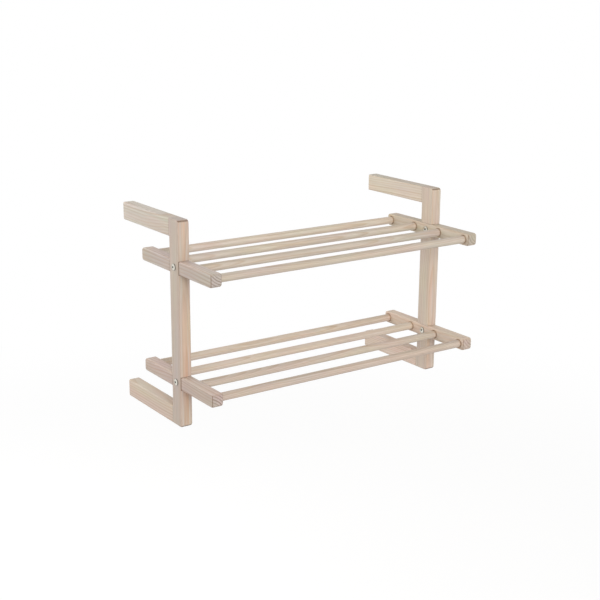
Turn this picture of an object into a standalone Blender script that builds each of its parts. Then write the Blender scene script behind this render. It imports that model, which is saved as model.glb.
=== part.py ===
"""Two-tier shoe rack that hangs on a wall, in white-washed pine.

Two C-shaped side frames stand off the wall. Each is an upright with a top arm
and a bottom arm pinned to its back. Two shelves of round rods run between the
frames. The side rails of each shelf cross the uprights in lap joints, drawn
together by a connector bolt and a sleeve nut through the middle of the lap.
Steel keyhole plates let into the top arms hang the rack on two wall screws.

Metres, +Z up. The wall is the plane Y = 0 and the rack stands out towards -Y.
The origin is on the wall, midway between the seats of the two keyholes.
"""

import math

import bmesh
import bpy
from mathutils import Matrix, Vector

# Side frames
RACK_WIDTH = 0.700              # outer face to outer face
FRAME_HEIGHT = 0.444
FRAME_DEPTH = 0.2395            # wall to the front face of the uprights
STOCK_THICKNESS = 0.0265        # all frame and rail stock, measured along X
UPRIGHT_DEPTH = 0.038
ARM_HEIGHT = 0.0385
FRAME_CORNER_RADIUS = 0.0075    # front top and front bottom corners, seen from the side
EDGE_RADIUS = 0.003             # round-over along the edges of the side faces

# Shelves
UPPER_SHELF_DROP = 0.099        # top of the frame down to the middle of the upper rails
LOWER_SHELF_HEIGHT = 0.0975     # underside of the frame up to the middle of the lower rails
RAIL_HEIGHT = 0.028
RAIL_SETBACK = 0.001            # rails' outer faces behind those of the uprights
RAIL_END_RADIUS = 0.0065        # rail ends, seen from the side
RODS_EACH_WAY = 2               # rods in front of the uprights, and as many behind them
ROD_DIAMETER = 0.0175
ROD_PITCH = 0.0855              # the middle of the upright lies midway between two rods
ROD_FRONT_INSET = 0.017         # rail's front end to the middle of the first rod
ROD_BACK_INSET = 0.014          # rail's back end to the middle of the last rod
ROD_SOCKET_DEPTH = 0.012
ROD_SOCKET_EASE = 0.0008        # countersink round the mouth of each socket
ROD_CHAMFER = 0.001

# Fluted wooden pins in the frame corners
PIN_DIAMETER = 0.008
PIN_INSET = 0.010               # arm's top or bottom face to the middle of the pin
PIN_IN_UPRIGHT = 0.020
PIN_IN_ARM = 0.024
PIN_CHAMFER = 0.001
PIN_FLUTES = 8
PIN_FLUTE_DEPTH = 0.0003

# Connector bolts and sleeve nuts through the laps
HEAD_DIAMETER = 0.014
HEAD_HEIGHT = 0.0028
HEAD_RIM_HEIGHT = 0.0009
SOCKET_ACROSS_FLATS = 0.004
SOCKET_DEPTH = 0.0019
BOLT_DIAMETER = 0.006
BOLT_END_CHAMFER = 0.0008
BOLT_END_CLEARANCE = 0.0015     # tip of the bolt to the floor of the sleeve's bore
SLEEVE_WALL = 0.001
SLEEVE_FLOOR = 0.0015           # from under the nut's head to the floor of its bore

# Keyhole plates and their screws in the back ends of the top arms
PLATE_WIDTH = 0.016
PLATE_THICKNESS = 0.0015
PLATE_MARGIN = 0.002            # plate's end to the arm's top or bottom face
PLATE_CORNER_RADIUS = 0.004
PLATE_INSET = 0.0003            # plate's face below the arm's end face
KEYHOLE_DIAMETER = 0.008
KEYHOLE_SLOT_WIDTH = 0.0048
KEYHOLE_DROP = 0.0075           # seat of the wall screw down to the middle of the round hole
KEYHOLE_POCKET_DEPTH = 0.009    # room for the wall screw's head behind the plate
KEYHOLE_POCKET_MARGIN = 0.0005
PLATE_SCREW_INSET = 0.0038      # plate's end to the middle of the screw
PLATE_SCREW_DIAMETER = 0.003
PLATE_SCREW_HEAD_DIAMETER = 0.0052
PLATE_SCREW_HEAD_HEIGHT = 0.0012
PLATE_SCREW_LENGTH = 0.016
PLATE_SCREW_TIP = 0.004
CROSS_LENGTH = 0.003
CROSS_WIDTH = 0.0007
CROSS_DEPTH = 0.0007

# Clearances and fineness
FIT_GAP = 0.0003                # between pieces that touch
CUT_MARGIN = 0.004              # how far a cutter runs past the face that it cuts
WELD_DISTANCE = 0.00001
CORNER_STEPS = 4
DOME_STEPS = 3
EDGE_STEPS = 3
ROD_SIDES = 24
HOLE_SIDES = 16
TURN_STEPS = 16
SMOOTH_ANGLE = math.radians(35)

# Places worked out from the sizes, in the frame's own coordinates:
# Y = 0 on the wall and Z = 0 at the underside of the frame
UPRIGHT_FRONT = -FRAME_DEPTH
UPRIGHT_BACK = UPRIGHT_FRONT + UPRIGHT_DEPTH
UPRIGHT_MIDDLE = (UPRIGHT_FRONT + UPRIGHT_BACK) / 2
TOP_ARM_MIDDLE = FRAME_HEIGHT - ARM_HEIGHT / 2
BOTTOM_ARM_MIDDLE = ARM_HEIGHT / 2
PIN_SPACING = ARM_HEIGHT - 2 * PIN_INSET
SHELF_HEIGHTS = {"upper": FRAME_HEIGHT - UPPER_SHELF_DROP, "lower": LOWER_SHELF_HEIGHT}
ROD_PLACES = [UPRIGHT_MIDDLE + (index + 0.5) * ROD_PITCH for index in range(-RODS_EACH_WAY, RODS_EACH_WAY)]
RAIL_FRONT = ROD_PLACES[0] - ROD_FRONT_INSET
RAIL_BACK = ROD_PLACES[-1] + ROD_BACK_INSET
BOLT_BORE = BOLT_DIAMETER + 2 * FIT_GAP
SLEEVE_DIAMETER = BOLT_BORE + 2 * SLEEVE_WALL
PLATE_HEIGHT = ARM_HEIGHT - 2 * PLATE_MARGIN
KEYHOLE_SEAT = TOP_ARM_MIDDLE + KEYHOLE_DROP / 2
HALF_STOCK = STOCK_THICKNESS / 2

# Turns an outline drawn in X and Y into one in Y and Z, with its thickness along X
OUTLINE_TO_SIDE = Matrix(((0, 0, 1, 0), (1, 0, 0, 0), (0, 1, 0, 0), (0, 0, 0, 1)))


def clear_scene():
    """Remove every object and leave one collection for the pieces and one for the cutters."""
    for old in list(bpy.data.objects):
        bpy.data.objects.remove(old)
    collections = []
    for name in ("wall_shoe_rack", "wall_shoe_rack_cutters"):
        collection = bpy.data.collections.new(name)
        bpy.context.scene.collection.children.link(collection)
        collections.append(collection)
    return collections


def add_material(name, colour, roughness, metallic=0.0):
    """A plain Principled material; the colour is linear red, green and blue."""
    material = bpy.data.materials.new(name)
    material.use_nodes = True
    shader = material.node_tree.nodes["Principled BSDF"]
    shader.inputs["Base Color"].default_value = (*colour, 1.0)
    shader.inputs["Roughness"].default_value = roughness
    shader.inputs["Metallic"].default_value = metallic
    return material


PIECES, CUTTERS = clear_scene()
FRAME_PINE = add_material("washed_pine_frame", (0.55, 0.44, 0.35), 0.62)
RAIL_PINE = add_material("washed_pine_rails", (0.53, 0.43, 0.34), 0.62)
ROD_PINE = add_material("washed_pine_rods", (0.57, 0.46, 0.36), 0.58)
PIN_BEECH = add_material("beech_pins", (0.50, 0.33, 0.20), 0.70)
ZINC = add_material("zinc_plated_bolts", (0.66, 0.66, 0.64), 0.30, 1.0)
PLATE_STEEL = add_material("zinc_plated_plates", (0.58, 0.58, 0.57), 0.40, 1.0)


def add_empty(name, location, parent=None):
    """An empty that carries the pieces of one assembly."""
    empty = bpy.data.objects.new(name, None)
    PIECES.objects.link(empty)
    empty.parent = parent
    empty.location = location
    return empty


def add_piece(name, mesh, material, parent, location=(0, 0, 0), rotation=(0, 0, 0)):
    """One piece of the rack, in its parent's coordinates."""
    mesh.materials.append(material)
    piece = bpy.data.objects.new(name, mesh)
    PIECES.objects.link(piece)
    piece.parent = parent
    piece.location = location
    piece.rotation_euler = rotation
    return piece


def add_cutter(name, mesh, parent, location=(0, 0, 0), rotation=(0, 0, 0)):
    """A hidden solid that only cuts other pieces."""
    cutter = bpy.data.objects.new(name, mesh)
    CUTTERS.objects.link(cutter)
    cutter.parent = parent
    cutter.location = location
    cutter.rotation_euler = rotation
    cutter.hide_render = True
    cutter.display_type = 'WIRE'
    return cutter


def cut(piece, cutter, operation='DIFFERENCE'):
    """Cut a piece with a cutter, or keep only what both share with 'INTERSECT'."""
    boolean = piece.modifiers.new(cutter.name, 'BOOLEAN')
    boolean.operation = operation
    boolean.solver = 'EXACT'
    boolean.object = cutter


def rounded_outline(corners):
    """Points of a closed outline whose corners (across, up, radius) are rounded by arcs."""
    points = []
    for index, (across, up, radius) in enumerate(corners):
        corner = Vector((across, up))
        if radius == 0:
            points.append(corner)
            continue
        before = (Vector(corners[index - 1][:2]) - corner).normalized()
        after = (Vector(corners[(index + 1) % len(corners)][:2]) - corner).normalized()
        half_angle = before.angle(after) / 2
        centre = corner + (before + after).normalized() * radius / math.sin(half_angle)
        start = corner + before * radius / math.tan(half_angle) - centre
        end = corner + after * radius / math.tan(half_angle) - centre
        start_angle = math.atan2(start.y, start.x)
        turn = math.atan2(end.y, end.x) - start_angle
        turn = (turn + math.pi) % math.tau - math.pi
        for step in range(CORNER_STEPS + 1):
            angle = start_angle + turn * step / CORNER_STEPS
            points.append(centre + radius * Vector((math.cos(angle), math.sin(angle))))
    return points


def rectangle(low_across, high_across, low_up, high_up, radius=0.0):
    """Corners of an upright rectangle, all with one radius."""
    return [(low_across, low_up, radius), (high_across, low_up, radius),
            (high_across, high_up, radius), (low_across, high_up, radius)]


def slab_mesh(name, corners, thickness, edge_radius=0.0):
    """A flat outline in Y and Z, thick along X about X = 0, with both its rims rounded over."""
    curve = bpy.data.curves.new(name, 'CURVE')
    curve.dimensions = '2D'
    curve.fill_mode = 'BOTH'
    curve.extrude = thickness / 2
    outline = rounded_outline(corners)
    spline = curve.splines.new('POLY')
    spline.points.add(len(outline) - 1)
    for spline_point, point in zip(spline.points, outline):
        spline_point.co = (point.x, point.y, 0.0, 1.0)
    spline.use_cyclic_u = True
    drawing = bpy.data.objects.new(name, curve)
    bpy.context.scene.collection.objects.link(drawing)
    depsgraph = bpy.context.evaluated_depsgraph_get()
    mesh = bpy.data.meshes.new_from_object(drawing.evaluated_get(depsgraph))
    bpy.data.objects.remove(drawing)
    solid = bmesh.new()
    solid.from_mesh(mesh)
    bmesh.ops.remove_doubles(solid, verts=solid.verts, dist=WELD_DISTANCE)
    bmesh.ops.dissolve_limit(solid, angle_limit=math.radians(1), verts=solid.verts, edges=solid.edges)
    solid.transform(OUTLINE_TO_SIDE)
    bmesh.ops.recalc_face_normals(solid, faces=solid.faces)
    if solid.calc_volume(signed=True) < 0:
        bmesh.ops.reverse_faces(solid, faces=solid.faces)
    if edge_radius:
        rims = [edge for edge in solid.edges
                if abs(edge.verts[0].co.x - edge.verts[1].co.x) < WELD_DISTANCE]
        bmesh.ops.bevel(solid, geom=rims, offset=edge_radius, segments=EDGE_STEPS,
                        profile=0.5, affect='EDGES')
    solid.to_mesh(mesh)
    solid.free()
    return mesh


def box_mesh(name, low, high):
    """A box between two opposite corners."""
    solid = bmesh.new()
    bmesh.ops.create_cube(solid, size=1.0)
    low = Vector(low)
    high = Vector(high)
    bmesh.ops.scale(solid, vec=high - low, verts=solid.verts)
    bmesh.ops.translate(solid, vec=(low + high) / 2, verts=solid.verts)
    mesh = bpy.data.meshes.new(name)
    solid.to_mesh(mesh)
    solid.free()
    return mesh


def cone_mesh(name, low_diameter, high_diameter, length, sides, chamfer=0.0, flute_depth=0.0):
    """A cylinder or cone along Z about its middle; flutes sink every other side's corner."""
    solid = bmesh.new()
    bmesh.ops.create_cone(solid, cap_ends=True, segments=sides, radius1=low_diameter / 2,
                          radius2=high_diameter / 2, depth=length)
    if flute_depth:
        for vert in solid.verts:
            corner = round(math.atan2(vert.co.y, vert.co.x) / (math.tau / sides))
            if corner % 2:
                vert.co.xy *= 1 - flute_depth / vert.co.xy.length
    if chamfer:
        rims = [edge for edge in solid.edges
                if abs(edge.verts[0].co.z - edge.verts[1].co.z) < WELD_DISTANCE]
        bmesh.ops.bevel(solid, geom=rims, offset=chamfer, segments=1, affect='EDGES')
    mesh = bpy.data.meshes.new(name)
    solid.to_mesh(mesh)
    solid.free()
    return mesh


def eased_bore_mesh(name, bore, depth, ease, sides):
    """A cutter for a round hole down from Z = 0, with a countersink at its mouth."""
    solid = bmesh.new()
    rings = []
    for radius, height in ((bore / 2, -depth), (bore / 2, -ease), (bore / 2 + ease + CUT_MARGIN, CUT_MARGIN)):
        angles = [math.tau * corner / sides for corner in range(sides)]
        rings.append([solid.verts.new((radius * math.cos(a), radius * math.sin(a), height)) for a in angles])
    for low, high in zip(rings, rings[1:]):
        for corner in range(sides):
            after = (corner + 1) % sides
            solid.faces.new((low[corner], low[after], high[after], high[corner]))
    solid.faces.new(rings[0][::-1])
    solid.faces.new(rings[-1])
    mesh = bpy.data.meshes.new(name)
    solid.to_mesh(mesh)
    solid.free()
    return mesh


def profile_mesh(name, profile):
    """The edge of a turned shape as (radius, height) points, from its top down."""
    mesh = bpy.data.meshes.new(name)
    points = [(radius, 0.0, height) for radius, height in profile]
    edges = [(index, index + 1) for index in range(len(profile) - 1)]
    mesh.from_pydata(points, edges, [])
    return mesh


def turn_profile(piece):
    """Turn a profile round its own Z axis into a solid."""
    screw = piece.modifiers.new("turn", 'SCREW')
    screw.axis = 'Z'
    screw.steps = TURN_STEPS
    screw.render_steps = TURN_STEPS
    screw.use_merge_vertices = True
    screw.merge_threshold = WELD_DISTANCE


def drill(piece, name, parent, start, end, diameter, end_diameter=None, sides=HOLE_SIDES):
    """Bore a round hole from one point to another, tapered if its ends differ."""
    start = Vector(start)
    end = Vector(end)
    along = end - start
    mesh = cone_mesh(name, diameter, end_diameter or diameter, along.length, sides)
    rotation = along.to_track_quat('Z', 'Y').to_euler()
    cut(piece, add_cutter(name, mesh, parent, (start + end) / 2, rotation))


def frame_blank_mesh(name):
    """The whole C of a side frame, glued up and rounded over, its arms left long at the wall."""
    past_wall = EDGE_RADIUS + CUT_MARGIN
    top_arm_underside = FRAME_HEIGHT - ARM_HEIGHT
    corners = [
        (UPRIGHT_FRONT, 0.0, FRAME_CORNER_RADIUS),
        (past_wall, 0.0, 0.0),
        (past_wall, ARM_HEIGHT, 0.0),
        (UPRIGHT_BACK, ARM_HEIGHT, 0.0),
        (UPRIGHT_BACK, top_arm_underside, 0.0),
        (past_wall, top_arm_underside, 0.0),
        (past_wall, FRAME_HEIGHT, 0.0),
        (UPRIGHT_FRONT, FRAME_HEIGHT, FRAME_CORNER_RADIUS),
    ]
    return slab_mesh(name, corners, STOCK_THICKNESS, EDGE_RADIUS)


def frame_member(name, frame, y_range, z_range):
    """One bar of the side frame: the part of the glued-up blank inside a box."""
    piece = add_piece(name, frame_blank_mesh(name), FRAME_PINE, frame)
    reach = HALF_STOCK + CUT_MARGIN
    box = box_mesh(name + "_share", (-reach, y_range[0], z_range[0]), (reach, y_range[1], z_range[1]))
    cut(piece, add_cutter(name + "_share", box, frame), 'INTERSECT')
    return piece


def pin_corner(name, frame, upright, arm, middle):
    """Two fluted pins, and their holes, where an arm butts against the upright."""
    upright_floor = UPRIGHT_BACK - PIN_IN_UPRIGHT
    arm_floor = UPRIGHT_BACK + FIT_GAP + PIN_IN_ARM
    length = arm_floor - upright_floor - 2 * FIT_GAP
    hole = PIN_DIAMETER + 2 * FIT_GAP
    for number, offset in ((1, PIN_SPACING / 2), (2, -PIN_SPACING / 2)):
        pin_name = f"{name}_pin_{number}"
        height = middle + offset
        for member in (upright, arm):
            drill(member, f"{pin_name}_hole_in_{member.name}", frame,
                  (0, upright_floor, height), (0, arm_floor, height), hole)
        mesh = cone_mesh(pin_name, PIN_DIAMETER, PIN_DIAMETER, length, 2 * PIN_FLUTES,
                         PIN_CHAMFER, PIN_FLUTE_DEPTH)
        centre = (0, (upright_floor + arm_floor) / 2, height)
        add_piece(pin_name, mesh, PIN_BEECH, frame, centre, (math.pi / 2, 0, 0))


def build_rail(name, frame, outward, height):
    """A shelf's side rail with blind rod sockets in its inner face and half a lap cut out."""
    corners = rectangle(RAIL_FRONT, RAIL_BACK, height - RAIL_HEIGHT / 2, height + RAIL_HEIGHT / 2,
                        RAIL_END_RADIUS)
    mesh = slab_mesh(name, corners, STOCK_THICKNESS - RAIL_SETBACK, EDGE_RADIUS)
    rail = add_piece(name, mesh, RAIL_PINE, frame, (-outward * RAIL_SETBACK / 2, 0, 0))
    reach = RAIL_HEIGHT / 2 + CUT_MARGIN
    lap_faces = sorted((-outward * FIT_GAP / 2, outward * (HALF_STOCK + CUT_MARGIN)))
    lap = box_mesh(name + "_lap", (lap_faces[0], UPRIGHT_FRONT - FIT_GAP, height - reach),
                   (lap_faces[1], UPRIGHT_BACK + FIT_GAP, height + reach))
    cut(rail, add_cutter(name + "_lap", lap, frame))
    inner_face = -outward * HALF_STOCK
    socket_mesh = eased_bore_mesh(name + "_socket", ROD_DIAMETER + 2 * FIT_GAP, ROD_SOCKET_DEPTH,
                                  ROD_SOCKET_EASE, ROD_SIDES)
    for number, place in enumerate(ROD_PLACES, 1):
        socket = add_cutter(f"{name}_socket_{number}", socket_mesh, frame, (inner_face, place, height),
                            (0, -outward * math.pi / 2, 0))
        cut(rail, socket)
    return rail


def notch_upright(upright, frame, outward, rail_name, height):
    """The other half of the lap, cut from the upright's inner face."""
    reach = RAIL_HEIGHT / 2 + FIT_GAP
    lap_faces = sorted((outward * FIT_GAP / 2, -outward * (HALF_STOCK + CUT_MARGIN)))
    notch = box_mesh(rail_name + "_notch", (lap_faces[0], UPRIGHT_FRONT - CUT_MARGIN, height - reach),
                     (lap_faces[1], UPRIGHT_BACK + CUT_MARGIN, height + reach))
    cut(upright, add_cutter(rail_name + "_notch", notch, frame))


def dome_profile():
    """A low domed head from its crown to the foot of its rim; its seat is at height 0."""
    radius = HEAD_DIAMETER / 2
    rise = HEAD_HEIGHT - HEAD_RIM_HEIGHT
    sphere = (radius ** 2 + rise ** 2) / (2 * rise)
    widest = math.asin(radius / sphere)
    profile = []
    for step in range(DOME_STEPS + 1):
        angle = widest * step / DOME_STEPS
        profile.append((sphere * math.sin(angle), HEAD_HEIGHT - sphere * (1 - math.cos(angle))))
    profile.append((radius, 0.0))
    return profile


def add_fastener(name, frame, profile, seat, rotation):
    """A turned bolt or nut with a hexagon socket in its domed head."""
    piece = add_piece(name, profile_mesh(name, profile), ZINC, frame, seat, rotation)
    turn_profile(piece)
    width = SOCKET_ACROSS_FLATS / math.cos(math.pi / 6)
    mesh = cone_mesh(name + "_socket", width, width, SOCKET_DEPTH + CUT_MARGIN, 6)
    middle = Vector((0, 0, HEAD_HEIGHT - SOCKET_DEPTH + (SOCKET_DEPTH + CUT_MARGIN) / 2))
    cut(piece, add_cutter(name + "_socket", mesh, piece, middle))


def bolt_lap(name, frame, outward, upright, rail, height):
    """Connector bolt from outside, sleeve nut from inside, and their holes through the lap."""
    seat = HALF_STOCK + FIT_GAP
    lap_plane = FIT_GAP / 2
    bore_floor = seat - SLEEVE_FLOOR
    drill(upright, f"{name}_bolt_hole", frame, (-outward * CUT_MARGIN, UPRIGHT_MIDDLE, height),
          (outward * (HALF_STOCK + CUT_MARGIN), UPRIGHT_MIDDLE, height), BOLT_BORE)
    drill(rail, f"{name}_sleeve_hole", frame, (outward * CUT_MARGIN, UPRIGHT_MIDDLE, height),
          (-outward * (HALF_STOCK + CUT_MARGIN), UPRIGHT_MIDDLE, height), SLEEVE_DIAMETER + 2 * FIT_GAP)

    bolt_radius = BOLT_DIAMETER / 2
    tip = -(seat + bore_floor - BOLT_END_CLEARANCE)
    bolt = dome_profile() + [(bolt_radius, 0.0), (bolt_radius, tip + BOLT_END_CHAMFER),
                             (bolt_radius - BOLT_END_CHAMFER, tip), (0.0, tip)]
    add_fastener(f"{name}_connector_bolt", frame, bolt, (outward * seat, UPRIGHT_MIDDLE, height),
                 (0, outward * math.pi / 2, 0))

    sleeve_radius = SLEEVE_DIAMETER / 2
    bore_radius = BOLT_BORE / 2
    sleeve_end = -(seat - lap_plane - FIT_GAP)
    nut = dome_profile() + [(sleeve_radius, 0.0), (sleeve_radius, sleeve_end), (bore_radius, sleeve_end),
                            (bore_radius, -SLEEVE_FLOOR), (0.0, -SLEEVE_FLOOR)]
    add_fastener(f"{name}_sleeve_nut", frame, nut, (-outward * seat, UPRIGHT_MIDDLE, height),
                 (0, -outward * math.pi / 2, 0))


def keyhole_slot(width, low, high):
    """A slot with round ends whose end circles have their middles at two heights."""
    return rectangle(-width / 2, width / 2, low - width / 2, high + width / 2, width / 2)


def end_pocket(piece, name, frame, corners, face, depth):
    """Sink an outline, drawn on the XZ plane, into a face that looks towards the wall."""
    mesh = slab_mesh(name, corners, depth + CUT_MARGIN)
    middle = face - depth + (depth + CUT_MARGIN) / 2
    cut(piece, add_cutter(name, mesh, frame, (0, middle, 0), (0, 0, math.pi / 2)))


def add_plate_screw(name, frame, height, face):
    """A small countersunk screw with a cross recess, driven from the wall side."""
    shank = PLATE_SCREW_DIAMETER / 2
    profile = [(0.0, 0.0), (PLATE_SCREW_HEAD_DIAMETER / 2, 0.0), (shank, -PLATE_SCREW_HEAD_HEIGHT),
               (shank, PLATE_SCREW_TIP - PLATE_SCREW_LENGTH), (0.0, -PLATE_SCREW_LENGTH)]
    screw = add_piece(name, profile_mesh(name, profile), ZINC, frame, (0, face, height),
                      (-math.pi / 2, 0, 0))
    turn_profile(screw)
    for arm_name, reach in (("across", (CROSS_LENGTH, CROSS_WIDTH)), ("up", (CROSS_WIDTH, CROSS_LENGTH))):
        half = Vector((reach[0] / 2, reach[1] / 2))
        arm = box_mesh(f"{name}_{arm_name}", (-half.x, -half.y, -CROSS_DEPTH), (half.x, half.y, CUT_MARGIN))
        cut(screw, add_cutter(f"{name}_{arm_name}", arm, screw))


def hang_arm(side, frame, arm):
    """Keyhole plate let into the back end of a top arm, with its screws and the head pocket."""
    name = f"{side}_keyhole_plate"
    half_width = PLATE_WIDTH / 2
    low = TOP_ARM_MIDDLE - PLATE_HEIGHT / 2
    high = TOP_ARM_MIDDLE + PLATE_HEIGHT / 2
    hole_middle = KEYHOLE_SEAT - KEYHOLE_DROP
    plate_face = -PLATE_INSET
    plate_middle = plate_face - PLATE_THICKNESS / 2
    recess_depth = PLATE_INSET + PLATE_THICKNESS + FIT_GAP

    outline = rectangle(-half_width, half_width, low, high, PLATE_CORNER_RADIUS)
    plate = add_piece(name, slab_mesh(name, outline, PLATE_THICKNESS), PLATE_STEEL, frame,
                      (0, plate_middle, 0), (0, 0, math.pi / 2))
    recess = rectangle(-half_width - FIT_GAP, half_width + FIT_GAP, low - FIT_GAP, high + FIT_GAP,
                       PLATE_CORNER_RADIUS + FIT_GAP)
    end_pocket(arm, f"{name}_recess", frame, recess, 0.0, recess_depth)
    pocket = keyhole_slot(KEYHOLE_DIAMETER + 2 * KEYHOLE_POCKET_MARGIN, hole_middle, KEYHOLE_SEAT)
    end_pocket(arm, f"{name}_head_pocket", frame, pocket, 0.0, KEYHOLE_POCKET_DEPTH)

    behind = plate_face - PLATE_THICKNESS - CUT_MARGIN
    drill(plate, f"{name}_round_hole", frame, (0, behind, hole_middle), (0, CUT_MARGIN, hole_middle),
          KEYHOLE_DIAMETER)
    slot = keyhole_slot(KEYHOLE_SLOT_WIDTH, hole_middle, KEYHOLE_SEAT)
    end_pocket(plate, f"{name}_slot", frame, slot, 0.0, -behind)

    hole = PLATE_SCREW_DIAMETER + 2 * FIT_GAP
    head_hole = PLATE_SCREW_HEAD_DIAMETER + 2 * FIT_GAP
    taper = (head_hole - hole) / PLATE_SCREW_HEAD_HEIGHT
    for place, height in (("top", high - PLATE_SCREW_INSET), ("bottom", low + PLATE_SCREW_INSET)):
        screw_name = f"{side}_plate_screw_{place}"
        head_bottom = plate_face - PLATE_SCREW_HEAD_HEIGHT
        screw_end = (0, plate_face - PLATE_SCREW_LENGTH - FIT_GAP, height)
        drill(plate, f"{screw_name}_hole", frame, (0, behind, height), (0, CUT_MARGIN, height), hole)
        drill(plate, f"{screw_name}_countersink", frame, (0, head_bottom, height),
              (0, plate_face + CUT_MARGIN, height), hole,
              hole + taper * (PLATE_SCREW_HEAD_HEIGHT + CUT_MARGIN))
        drill(arm, f"{screw_name}_pilot", frame, screw_end, (0, CUT_MARGIN, height), hole)
        add_plate_screw(screw_name, frame, height, plate_face)


def build_side_frame(side, outward, rack):
    """A C-shaped side frame with its pins and hanger, and the rails bolted across it."""
    middle = outward * (RACK_WIDTH / 2 - HALF_STOCK)
    frame = add_empty(f"{side}_side_frame", (middle, 0, 0), rack)
    arm_ends = (UPRIGHT_BACK + FIT_GAP, 0.0)
    top_range = (FRAME_HEIGHT - ARM_HEIGHT - CUT_MARGIN, FRAME_HEIGHT + CUT_MARGIN)
    bottom_range = (-CUT_MARGIN, ARM_HEIGHT + CUT_MARGIN)
    upright = frame_member(f"{side}_upright", frame, (UPRIGHT_FRONT - CUT_MARGIN, UPRIGHT_BACK),
                           (-CUT_MARGIN, FRAME_HEIGHT + CUT_MARGIN))
    top_arm = frame_member(f"{side}_top_arm", frame, arm_ends, top_range)
    bottom_arm = frame_member(f"{side}_bottom_arm", frame, arm_ends, bottom_range)
    pin_corner(f"{side}_top", frame, upright, top_arm, TOP_ARM_MIDDLE)
    pin_corner(f"{side}_bottom", frame, upright, bottom_arm, BOTTOM_ARM_MIDDLE)
    hang_arm(side, frame, top_arm)
    for shelf, height in SHELF_HEIGHTS.items():
        name = f"{shelf}_{side}"
        rail = build_rail(f"{name}_rail", frame, outward, height)
        notch_upright(upright, frame, outward, rail.name, height)
        bolt_lap(name, frame, outward, upright, rail, height)


def build_rods(rack):
    """The round rods of both shelves, with their ends in the rails' sockets."""
    length = RACK_WIDTH - 2 * STOCK_THICKNESS + 2 * (ROD_SOCKET_DEPTH - FIT_GAP)
    for shelf, height in SHELF_HEIGHTS.items():
        for number, place in enumerate(ROD_PLACES, 1):
            name = f"{shelf}_rod_{number}"
            mesh = cone_mesh(name, ROD_DIAMETER, ROD_DIAMETER, length, ROD_SIDES, ROD_CHAMFER)
            add_piece(name, mesh, ROD_PINE, rack, (0, place, height), (0, math.pi / 2, 0))


def apply_cuts():
    """Turn every piece's modifiers into its own mesh, shaded smooth but for its sharp edges."""
    depsgraph = bpy.context.evaluated_depsgraph_get()
    pieces = [piece for piece in PIECES.objects if piece.type == 'MESH']
    finished = [bpy.data.meshes.new_from_object(piece.evaluated_get(depsgraph)) for piece in pieces]
    for piece, mesh in zip(pieces, finished):
        mesh.name = piece.name
        mesh.shade_smooth()
        mesh.set_sharp_from_angle(angle=SMOOTH_ANGLE)
        piece.modifiers.clear()
        piece.data = mesh


def build_rack():
    """The whole rack, hung from an origin at the keyholes' height."""
    rack = add_empty("rack", (0, 0, -KEYHOLE_SEAT))
    for side, outward in (("left", -1), ("right", 1)):
        build_side_frame(side, outward, rack)
    build_rods(rack)
    apply_cuts()


build_rack()
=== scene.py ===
# %% [markdown]
# # A wall-hung shoe rack in white-washed pine
# The solids of the rack come from a imported CAD part and never move. This lesson gives them the
# look of the real thing: pale pine with a thin white wash, eased edges, turned rods and zinc bolts.
# The first cell loads the part and keeps its box, which places the floor and the lamps.

import math
from functools import partial

import bmesh
import bpy
from mathutils import Matrix, Vector


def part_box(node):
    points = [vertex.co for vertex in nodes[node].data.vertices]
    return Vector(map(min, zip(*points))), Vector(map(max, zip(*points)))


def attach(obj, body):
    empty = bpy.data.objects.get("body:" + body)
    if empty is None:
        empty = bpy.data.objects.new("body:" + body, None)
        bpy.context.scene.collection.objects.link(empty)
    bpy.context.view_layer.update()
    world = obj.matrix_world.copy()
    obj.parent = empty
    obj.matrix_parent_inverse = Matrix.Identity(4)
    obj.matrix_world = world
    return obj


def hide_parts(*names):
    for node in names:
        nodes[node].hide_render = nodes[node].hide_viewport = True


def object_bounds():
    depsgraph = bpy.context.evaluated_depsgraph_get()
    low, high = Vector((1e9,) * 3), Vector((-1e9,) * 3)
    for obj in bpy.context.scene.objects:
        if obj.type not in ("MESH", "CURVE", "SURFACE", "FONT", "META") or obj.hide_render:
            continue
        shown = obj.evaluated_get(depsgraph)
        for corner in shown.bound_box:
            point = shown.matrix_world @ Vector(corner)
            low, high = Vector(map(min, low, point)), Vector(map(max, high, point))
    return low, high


SHELVES = ("upper", "lower")

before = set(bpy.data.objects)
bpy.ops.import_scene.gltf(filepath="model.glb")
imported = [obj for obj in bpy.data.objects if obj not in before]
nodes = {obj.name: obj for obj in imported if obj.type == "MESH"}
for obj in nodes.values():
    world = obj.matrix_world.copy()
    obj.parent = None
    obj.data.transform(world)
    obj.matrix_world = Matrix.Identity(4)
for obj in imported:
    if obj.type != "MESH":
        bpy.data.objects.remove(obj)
cad_low, cad_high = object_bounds()
cad_middle = (cad_low + cad_high) / 2
scene = bpy.context.scene
scene.view_settings.view_transform = "Standard"
print("loaded", len(nodes), "pieces; box", [round(v, 4) for v in cad_high - cad_low])

# %% [markdown]
# ## Camera
# A product photographer stands well back and to the left of such a rack, a little above it, so the
# lens is long and the rods stay almost parallel. The camera could be aimed at a target, but a place
# and three angles (heading, pitch and a trace of roll) say it more plainly and can be tuned one by one.

# %% Set up the camera
CAMERA_PLACE = Vector((-1.4580, -2.2493, 0.4898))
HEADING = math.radians(35.020)      # clockwise from straight ahead, seen from above
PITCH = math.radians(-15.585)
ROLL = math.radians(0.455)
FOCAL_LENGTH = 69.859               # millimetres
SENSOR_WIDTH = 36.0                 # millimetres, and just as high


def ahead(heading, pitch):
    """The direction of a heading and a pitch."""
    level = math.cos(pitch)
    return Vector((math.sin(heading) * level, math.cos(heading) * level, math.sin(pitch)))


def aim(heading, pitch, roll=0.0):
    """Rotation of a camera or lamp that looks along a heading and a pitch, with a roll to the left."""
    unrolled = ahead(heading, pitch).to_track_quat("-Z", "Y")
    return unrolled @ Matrix.Rotation(roll, 3, "Z").to_quaternion()


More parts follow.
